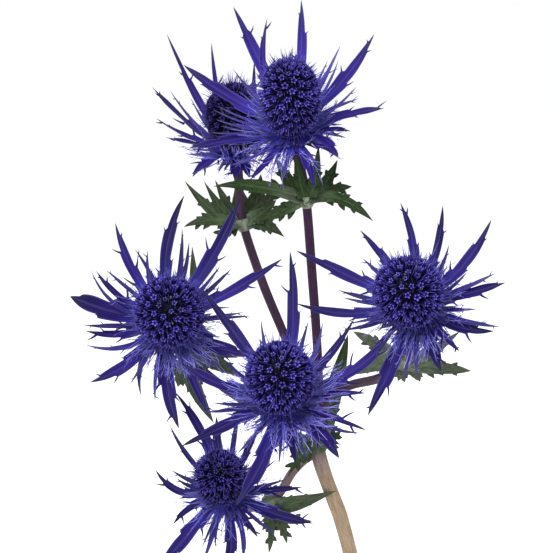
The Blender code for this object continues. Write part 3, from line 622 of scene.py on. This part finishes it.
def makeBracts(name, head, finish, chance):
    axes, foot = headAxes(head), head["foot"]
    skins = [turnedSkin(bractSettings["hubProfile"], 20, foot, axes)]
    root, middle, tip, width = bractLines(head, head["bracts"])
    thin = width < bractSettings["spineWidth"]
    for kind, chosen in (("blade", ~thin), ("spine", thin)):
        form = bractSettings[kind]
        rims = dict(teeth=form["teeth"], depth=form["step"], phases=chance.random((2, chosen.sum(), 1)))
        line = (root[chosen], middle[chosen], tip[chosen], axes[2], width[chosen] * form["broader"], chance)
        blunt = np.where(width[chosen] > bractSettings["bluntWidth"], bractSettings["blunt"], 0.0)
        # The head's draws carry its painted light and shade into the bracts' brightness.
        skins.append(bladeSkin(*line, form["rows"], form["gutter"], blunt=blunt, pale=form["pale"],
                               rims=rims, draws=head["draws"]))
        skins += teethSkin(*line, rims, form["toothLength"], form["toothWidth"], form["pale"])
    skins.append(frill(foot, axes, head["cone"][0], chance))
    skins += feathers(head, chance)
    makePiece(name + "Bracts", skins, finish, "bracts_" + name)


# Directions round the head at a turn and a lift: cos(lift) outwards and sin(lift) along the cone.
def around(axes, turn, lift):
    out = np.cos(turn)[:, None] * axes[0] + np.sin(turn)[:, None] * axes[1]
    return out, out * np.cos(lift)[:, None] + axes[2] * np.sin(lift)[:, None]


# Frill: short pale blades that curve up round the foot of the cone.
def frill(foot, axes, coneRadius, chance):
    form = bractSettings["frill"]
    count = form["count"]
    turn = (np.arange(count) + chance.uniform(-0.4, 0.4, count)) * 2 * math.pi / count
    out, ways = around(axes, turn, np.radians(chance.uniform(*form["lift"], count)))
    root = foot + out * form["root"] + axes[2] * chance.uniform(-0.2, 0.8, (count, 1))
    length = coneRadius * chance.uniform(*form["length"], (count, 1))
    middle = root + out * length * 0.55
    width = chance.uniform(*form["width"], count)
    return bladeSkin(root, middle, root + ways * length, axes[2], width, chance, rows=8, gutter=0.5,
                     thick=0.45, pale=0.4)


# Feathers: thin pale threads between the bracts, with short barbs. Most stand where the head's fringe says.
def feathers(head, chance):
    form, barb = bractSettings["feather"], bractSettings["barb"]
    groups = np.array(head["fringe"] + [form["allRound"]], float)
    clock, spread, count, reach = np.repeat(groups, (groups[:, 2] * form["closer"]).astype(int), axis=0).T
    total = len(clock)
    clock = clock + spread * chance.uniform(-1, 1, total)
    reach = reach * chance.uniform(*form["reach"], total)
    lift, sweep = chance.uniform(*form["lift"], total), chance.normal(0, form["sweep"], total)
    root, middle, tip, _ = bractLines(head, np.stack([clock, reach, 0 * clock, lift, sweep], axis=1))
    shrink = np.minimum(1, form["longest"] / np.linalg.norm(tip - root, axis=1, keepdims=True))
    middle = root + (middle - root) * shrink + headAxes(head)[2] * chance.uniform(*form["rise"], (total, 1))
    tip = root + (tip - root) * shrink + chance.normal(0, form["stray"], (total, 3))
    draw = chance.random(total)
    bow = (middle - (root + tip) / 2) / 2
    skins = [needleSkin(root, tip, bow, chance.uniform(*form["width"], total), draw, 0.0, 1.0, rows=7)]
    count = barb["count"]
    spots = np.linspace(*barb["spots"], count) + chance.uniform(-0.05, 0.05, (total, count))
    spots = spots[..., None]
    places = root[:, None] + (tip - root)[:, None] * spots + bow[:, None] * 4 * spots * (1 - spots)
    ways = unit(tip - root)[:, None] + chance.normal(0, barb["stray"], (total, count, 3))
    size = chance.uniform(*barb["length"], (total, count, 1))
    feet = places.reshape(-1, 3)
    tips = feet + (unit(ways) * size).reshape(-1, 3)
    skins.append(needleSkin(feet, tips, 0 * feet, barb["width"], np.repeat(draw, count), 0.3, 1.0, 2, 3))
    return skins


# Cones of florets, evenly spread over an ellipsoid. Each is a cup with five sepals: (radius, height) at them
# and at the notches between them, from the root up, over the rim and down inside.
coneSettings = dict(
    base=0.84,  # where the ellipsoid is cut off, as a share of its half length
    lowest=0.93,  # where the florets end, as a share of that
    hubTop=1.4, gap=0.3,
    floretArea=14.2, sizes=(0.92, 1.08), stray=0.05, length=3.6,
    sepals=[(0.55, 0), (0.9, 1.4), (1.05, 2.6), (1.15, 3.55), (0.8, 3.5), (0.35, 2.9)],
    notches=[(0.55, 0), (0.9, 1.4), (0.98, 2.4), (0.9, 3.1), (0.65, 3.05), (0.3, 2.7)],
    # rise: where each ring of a floret stands on its colour ramp. It runs from near black at the root, a
    # painted shade between the florets, to light blue at the rim, and back to purple inside. The notches
    # take notchRise of it, a darker painted shade between the sepals.
    rise=[0.0, 0.3, 0.6, 0.95, 1.0, 0.6], notchRise=0.72, cupFloor=1.9,
    youngFlorets=9, youngShare=0.12, youngSize=0.72,
    # The first is how bright the lowest florets are, a painted shade under the head. The second is the
    # random spread of all of them.
    paintedFootShade=0.5, bright=(0.6, 1.15),
    bristles=5, bristleAway=(1.0, 2.1), bristlePast=(-0.6, 3.1), bristleWidth=0.48,
    specks=9, speckLean=(8, 42), speckWidth=0.8,
)


def makeCone(name, head, finish, chance):
    form = coneSettings
    radius, half = head["cone"]
    axes, base = headAxes(head), form["base"]
    centre = form["hubTop"] + form["gap"] + base * half
    count = round(2 * math.pi * radius * half * (1 + base) / form["floretArea"])
    index = np.arange(count)
    up = 1 - (1 + base * form["lowest"]) * (index + 0.5) / count
    turn = index * math.pi * (3 - math.sqrt(5))
    out = np.sqrt(1 - up ** 2)
    young = np.clip(1 - index / form["youngFlorets"], 0, 1)
    size = (1 - (1 - form["youngSize"]) * young) * chance.uniform(*form["sizes"], count)
    # Brightness: a random spread, times a painted shade that darkens the florets towards the foot of the
    # cone.
    bright = chance.uniform(*form["bright"], count) * np.interp(up, (-0.9, 0.2), (form["paintedFootShade"], 1))
    # The tips lie on the ellipsoid, and each floret stands square to it.
    tips = np.stack([radius * out * np.cos(turn), radius * out * np.sin(turn), half * up], axis=1)
    normal = unit(tips / np.array([radius ** 2, radius ** 2, half ** 2]))
    normal = unit(normal + chance.normal(0, form["stray"], (count, 3)))
    side = unit(np.cross(normal, chance.normal(size=(count, 3))))
    other = np.cross(normal, side)
    roots = tips - normal * form["length"]
    sepals, notches = np.array(form["sepals"]), np.array(form["notches"])
    turns = np.arange(10) * 2 * math.pi / 10
    atSepal = np.arange(10) % 2 == 0
    away, rise = np.moveaxis(np.where(atSepal[:, None], sepals[:, None], notches[:, None]), -1, 0)
    cup = np.stack([away * np.cos(turns), away * np.sin(turns), rise], axis=-1)
    rings = cup @ np.stack([side, other, normal], axis=1)[:, None]
    rings = roots[:, None, None] + size[:, None, None, None] * rings

    def place(points):
        return head["foot"] + (points + (0, 0, centre)) @ axes

    # Painted shade: low down and at the notches, the florets read darker on their ramp.
    rise = np.array(form["rise"])[:, None] * np.where(atSepal, 1, form["notchRise"])
    end = roots + normal * size[:, None] * form["cupFloor"]
    # Each floret's draw is its brightness times its head's painted shade.
    skins = [skin(place(rings), place(roots - normal * 0.4), place(end), rise, 0.5,
                  (bright * head["bright"])[:, None, None], (young * form["youngShare"])[:, None, None])]
    # Bristles stand round each floret and a little past it, more so near the top.
    for step in range(form["bristles"]):
        swing = chance.uniform(-0.6, 0.6, (count, 1)) + step * 2 * math.pi / form["bristles"]
        away = side * np.cos(swing) + other * np.sin(swing)
        low = roots + away * chance.uniform(*form["bristleAway"], (count, 1))
        past = chance.uniform(*form["bristlePast"], (count, 1)) * (1 + 0.3 * np.maximum(up, 0)[:, None])
        tip = low + normal * (form["length"] + past)
        tip = tip + away * 0.3 + np.array([0, 0, 0.6])
        # Bristles take the florets' painted shade. On the shaded heads, those near the top are spared it.
        draw = 0.85 * bright * np.where(up > 0.4, 1, head["bright"])
        skins.append(needleSkin(place(low), place(tip), 0 * low, form["bristleWidth"], draw, 0.6, 0.0, 3, 3))
    # Specks: short pale tips scattered over the top.
    lean = np.radians(chance.uniform(*form["speckLean"], form["specks"]))
    swing = chance.uniform(0, 2 * math.pi, form["specks"])
    tip = np.stack([radius * np.sin(lean) * np.cos(swing), radius * np.sin(lean) * np.sin(swing),
                    half * np.cos(lean)], axis=1)
    # Specks take their head's painted shade.
    skins.append(needleSkin(place(tip * 0.8), place(tip * 0.97), 0 * tip, form["speckWidth"],
                            head["bright"] + 0 * lean, 0.6, 1.0, rows=3))
    # A smaller ellipsoid that the florets grow from, near black: a painted shade in the gaps between them.
    angles = np.linspace(-math.asin(base), math.pi / 2, 15)
    inner = np.array([radius, half]) - form["length"] * 0.85
    profile = np.stack([inner[0] * np.cos(angles), centre + inner[1] * np.sin(angles)], axis=1)
    bottom = form["hubTop"] + form["gap"]
    profile = np.vstack([(0, bottom), (profile[0, 0] * 0.9, bottom), profile[1:-1], (0, centre + inner[1])])
    skins.append(turnedSkin(profile, 28, head["foot"], axes, along=0.12))
    makePiece(name + "Florets", skins, finish, "cone_" + name)


# Stem. The lists give the route of the trunk and of each branch, as the solids have them.
trunk = [(21.6, -4, 5.1), (14.8, -1.5, 45), (7.8, 0.5, 85), (2.2, 2, 115), (-4, 3.1, 148), (-8.5, 4.2, 166),
         (-11.2, 5, 173.5), (-14, 5.6, 181), (-16.4, 6.1, 188.5), (-18.6, 6.5, 199.2)]
fork, lowFork = trunk[-1], (-16.8, 6.2, 191)
branches = {
    "front": [fork, (-21, 0, 205), (-26, -22, 211)],
    "left": [fork, (-32, 7, 204), (-46, 8, 211), (-60, 8, 222), (-68, 10, 231)],
    "right": [fork, (-14, 6, 211), (-6, 4, 216), (4, 2, 219), (12, 0, 224), (17.5, -3, 236)],
    "top": [fork, (-17, 8, 214), (-17.6, 8, 232), (-19.4, 5, 256), (-21.6, 0, 283), (-23.8, -1.5, 295)],
    "back": [fork, (-21.5, 12, 213), (-29, 18, 231), (-37, 22, 250), (-44, 24, 271), (-45.4, 25.4, 283)],
    "low": [lowFork, (-21.6, 7, 188.2), (-26.4, 8.7, 182.6), (-30.2, 10.4, 175.6), (-34.4, 12, 170.8),
            (-42, 14.5, 167.6), (-48.5, 15.5, 167.5)],
}
stemSettings = dict(
    trunkRadius=2.7, trunkSlim=0.97, branchRadius=1.6, perSpan=10, ribs=7, ribDepth=0.05,
    trunkTone=[(0, 180, 188, 194, 198), (0, 0.2, 0.45, 0.75, 1.0)],  # heights, and the tone at each
    branchTone=dict(front=(1, 0.8), left=(1, 0.8), right=(1, 0.4), top=(1, 1), back=(1, 0.9),
                    low=(0.58, 0.5)),
)


# Route of a branch. It ends square to its head's hub, as the solid does.
def branchPath(name):
    head = heads[name]
    axis = facingWay(head["facing"])
    end = head["foot"] - axis * 4.3
    curve = smoothPath(branches[name] + [tuple(end - axis * 5)], stemSettings["perSpan"])
    return np.vstack([curve, end])


# The trunk swells by 12% under the fork, and each branch by 25% at its foot. Both waver by 2%. A branch's
# tone goes from its foot's to its head's within its middle third.
def makeStem(finish):
    form = stemSettings
    path = smoothPath(trunk, form["perSpan"])
    share = np.linspace(0, 1, len(path))
    swell = 1 + 0.12 * np.exp(-((share - 0.97) / 0.03) ** 2) + 0.02 * np.sin(share * 23)
    tones = np.interp(path[:, 2], *form["trunkTone"])
    skins = [rodSkin(path, form["trunkRadius"] * swell * form["trunkSlim"], tones, 24, form["ribs"],
                     form["ribDepth"])]
    for name, (footTone, headTone) in form["branchTone"].items():
        path = branchPath(name)
        share = np.linspace(0, 1, len(path))
        swell = 1 + 0.25 * np.exp(-share / 0.05) + 0.02 * np.sin(share * 17)
        tones = footTone + (headTone - footTone) * np.clip(share * 3 - 0.9, 0, 1)
        skins.append(rodSkin(path, form["branchRadius"] * swell, tones, 18, form["ribs"], form["ribDepth"]))
    makePiece("floweringStem", skins, finish, "stem")


# Rings of leaves: the fork's is on the trunk, the others on the branches of their names. place: about where.
# pale: how pale the blades are. collar: where its colour starts along a blade's, and how pale it is. leaves:
# (clock, reach, width, lean, arch), with clock and reach as the camera sees them, the lean towards it, and
# arch the share of its length by which the middle bows up the stem.
leafRings = {
    "fork": dict(place=(-17.9, 6.3, 194), pale=0.05, collar=(0.45, 0.1), leaves=[
        (16, 41.6, 5.6, -12, 0.35), (24, 18.4, 3.2, -30, 0), (60, 10, 3.2, -20, 0), (330, 6.5, 3.8, 30, 0),
        (225, 15, 2.2, 25, 0), (289, 18.4, 4, -35, 0)]),
    "top": dict(place=(-21.6, 0, 283), pale=0.02, collar=(0.05, 0.7), leaves=[
        (278.5, 32.5, 4.2, 12, 0.3), (324.5, 18.2, 4.6, -25, 0), (345.5, 17.4, 4, 35, 0),
        (12.5, 18.3, 4, 40, 0), (36.5, 18.4, 4.2, -15, 0), (74.5, 16.8, 3.6, -20, 0.1),
        (107.5, 24, 3.8, 15, 0.22), (245.5, 18.5, 3.8, -10, -0.22)]),
    "back": dict(place=(-44, 24, 271), pale=0.08, collar=(0.1, 0.55), leaves=[
        (268, 21.4, 4, 10, 0.3), (306, 26.5, 3.8, -20, 0), (318, 21.3, 3.4, 0, 0), (327, 19, 3.6, -25, 0),
        (350, 17.2, 6.6, -45, 0), (19.5, 19.3, 6.4, -30, 0), (38, 18.4, 5.4, -8, 0), (56, 14.6, 4.2, 20, 0),
        (106.5, 15.3, 4.2, 15, 0.1), (236, 11.6, 3.4, 40, 0)]),
    "left": dict(place=(-62, 6.8, 224), pale=0.14, collar=(0.2, 0.3), leaves=[
        (160.5, 23, 5.2, 12, 0), (88, 16.7, 3.6, -10, 0), (107, 20, 5, 20, 0), (207, 11.4, 4.4, -30, 0),
        (263, 15, 4.4, -40, 0), (15, 12.9, 4.2, -50, 0), (359, 41.6, 3.8, -12, 0.3)]),
    "right": dict(place=(12.4, -0.4, 225), pale=0.25, collar=(0, 0.6), leaves=[
        (303.5, 20.9, 4.2, -10, 0), (258, 20.3, 6, 15, 0), (95.5, 24.4, 4.4, 0, 0.22),
        (63, 23.8, 3.8, -30, 0), (122.5, 9.6, 4, -50, 0), (6.5, 13.7, 4.4, -50, 0),
        (197, 6.2, 3.6, 10, 0)]),
    "low": dict(place=(-34.4, 12, 170.8), pale=0.15, collar=(0.2, 0.3), leaves=[
        (77.5, 24, 5.2, 27, 0), (110, 17, 4, 25, 0), (159.5, 16.9, 3.8, -10, 0), (180, 17.7, 3, 20, 0),
        (196, 11.8, 4.4, -25, 0), (27, 6.4, 4.4, -50, 0)]),
}
leafSettings = dict(
    twist=0.65,  # how far the blades turn their faces to the camera
    rootRise=(-0.4, 0.5), broader=1.15,
    lobes=3, lobeLength=4.2, lobeSizes=(0.8, 1.2), lobeWidth=2.2,
    collarRim=1.3, collarHeight=4.4,
)


# Each ring is its blades, their lobes and the collar that they leave the stem from.
def makeLeaves(name, finish, chance):
    ring = leafRings[name]
    path = smoothPath(trunk, stemSettings["perSpan"]) if name == "fork" else branchPath(name)
    nearest = np.argmin(np.linalg.norm(path - ring["place"], axis=1))
    nearest = min(max(nearest, 1), len(path) - 2)
    axis = unit(path[nearest + 1] - path[nearest - 1])
    centre = path[nearest]
    clock, reach, width, lean, arch = np.array(ring["leaves"], float).T
    lean, count = np.radians(lean)[:, None], len(clock)
    ways = clockWays(clock) * np.cos(lean) + viewNear * np.sin(lean)
    length = reach[:, None] / np.cos(lean)
    even, odd = leafSettings["rootRise"]
    root = centre + axis * np.where(np.arange(count) % 2, odd, even)[:, None]
    level = ways - axis * (ways @ axis)[:, None]
    middle, tip = root + (level / 2 + axis * arch[:, None]) * length, root + ways * length
    width = width * leafSettings["broader"]
    face = unit(axis * (1 - leafSettings["twist"]) + viewNear * leafSettings["twist"])
    pale = ring["pale"]
    skins = [bladeSkin(root, middle, tip, face, width, chance, rows=24, gutter=0.3, base=0.95, pale=pale)]
    # Lobes: smaller blades that leave the midrib outwards and forwards, two at a time.
    for step in range(leafSettings["lobes"]):
        for side in (-1, 1):
            spots = 0.3 + 0.2 * step + chance.uniform(-0.04, 0.04, (count, 1))
            places, lines = bend(root, middle, tip, spots)
            out = unit(np.cross(lines[:, 0], face)) * side
            start = places[:, 0] + out * 0.4
            way = unit(out + lines[:, 0])
            size = leafSettings["lobeLength"] * (1.1 - 0.2 * step)
            size = size * chance.uniform(*leafSettings["lobeSizes"], (count, 1))
            wide, shade = leafSettings["lobeWidth"] * (1 - 0.12 * step), 0.35 + 0.15 * step
            skins.append(bladeSkin(start, start + way * size * 0.5, start + way * size, face, wide, chance,
                                   rows=10, gutter=0.2, thick=0.6, base=1.1, start=shade, pale=pale))
    inner = stemSettings["trunkRadius" if name == "fork" else "branchRadius"]
    share = np.array([0, 0.15, 0.5, 0.85, 1])
    collar = centre + axis * leafSettings["collarHeight"] * (share - 0.6)[:, None]
    radii = inner + leafSettings["collarRim"] * np.array([0.15, 0.5, 0.8, 1.0, 0.85])
    shade, tone = ring["collar"]
    skins.append(rodSkin(collar, radii, tone, 20, start=shade))
    makePiece(name + "Leaves", skins, finish, "leaves_" + name)


# Bottle: plain clear glass. The profile runs up the outside and down the inside, as (radius, height).
bottleSettings = dict(
    height=150, radius=31, baseCurve=5, heelCurve=3.5, bodyTop=86, neckFoot=116, neckRadius=11.2,
    lipRadius=13.4, lipDepth=6, mouthCurve=1, wall=2.6, floor=4, punt=1.4,
    waterTop=80, waterInto=0.05, waterClimb=1.1,
)


# Shoulder: half a cosine wave from the body's radius to the neck's.
def shoulder(body, neck, steps=26):
    s = np.linspace(0, 1, steps)
    height = bottleSettings["bodyTop"] + (bottleSettings["neckFoot"] - bottleSettings["bodyTop"]) * s
    return np.stack([neck + (body - neck) * (1 + np.cos(math.pi * s)) / 2, height], axis=1)


# Points round part of a circle, with the angles in degrees.
def arc(centre, radius, first, last, steps):
    angles = np.radians(np.linspace(first, last, steps))
    return np.array(centre) + radius * np.stack([np.cos(angles), np.sin(angles)], axis=1)


def makeBottle(finish):
    b = bottleSettings
    foot = b["radius"] - b["baseCurve"]
    s = np.linspace(0, 1, 8)[1:, None]
    punt = np.hstack([foot * 0.85 * s, b["punt"] * (1 - s ** 4)])
    corner = arc((foot, b["baseCurve"]), b["baseCurve"], -90, 0, 9)
    outside = shoulder(b["radius"], b["neckRadius"])
    lipFoot = b["height"] - b["lipDepth"]
    bead = b["lipDepth"] / 2
    lip = arc((b["lipRadius"] - bead, lipFoot + bead), bead, -70, 80, 12)
    curve, hollow = b["mouthCurve"], b["neckRadius"] - b["wall"]
    mouth = arc((hollow + curve, b["height"] - curve), curve, 90, 180, 5)
    inside = shoulder(b["radius"] - b["wall"], hollow)[::-1]
    curve = b["heelCurve"]
    heel = arc((b["radius"] - b["wall"] - curve, b["floor"] + curve), curve, 0, -90, 7)
    profile = np.vstack([(0, b["punt"]), punt, corner, outside, (b["neckRadius"], lipFoot), lip, mouth,
                         inside, heel, (0, b["floor"])])
    makePiece("glassBottle", [turnedSkin(profile, 96)], finish, "bottle", edgeAngle=70)


# Water: it reaches a hair into the glass, so that no air shows between them. Its surface climbs at the wall,
# by climb x (share of the radius)^24.
def makeWater(finish):
    b = bottleSettings
    radius, bottom = b["radius"] - b["wall"] + b["waterInto"], b["floor"] - b["waterInto"]
    heel = arc((radius - b["heelCurve"], bottom + b["heelCurve"]), b["heelCurve"], -90, 0, 7)
    s = np.linspace(1, 0, 12)[:-1, None]
    surface = np.hstack([radius * s, b["waterTop"] + b["waterClimb"] * s ** 24])
    profile = np.vstack([(0, bottom), heel, surface, (0, b["waterTop"])])
    makePiece("stillWater", [turnedSkin(profile, 96)], finish, "water", edgeAngle=80)


makeCamera()
makeStudio()
print("camera and studio ready")
bractFinish, floretFinish = makeBractFinish(), makeFloretFinish()
leafFinish, stemFinish = makeLeafFinish(), makeStemFinish()
for order, (name, head) in enumerate(heads.items()):
    makeBracts(name, head, bractFinish, np.random.default_rng(100 + order))
    makeCone(name, head, floretFinish, np.random.default_rng(200 + order))
print("heads ready")
makeStem(stemFinish)
for order, name in enumerate(leafRings):
    makeLeaves(name, leafFinish, np.random.default_rng(300 + order))
print("stem and leaves ready")
makeBottle(makeClearFinish("clear glass", glassLook))
makeWater(makeClearFinish("still water", waterLook))
print("bottle and water ready")
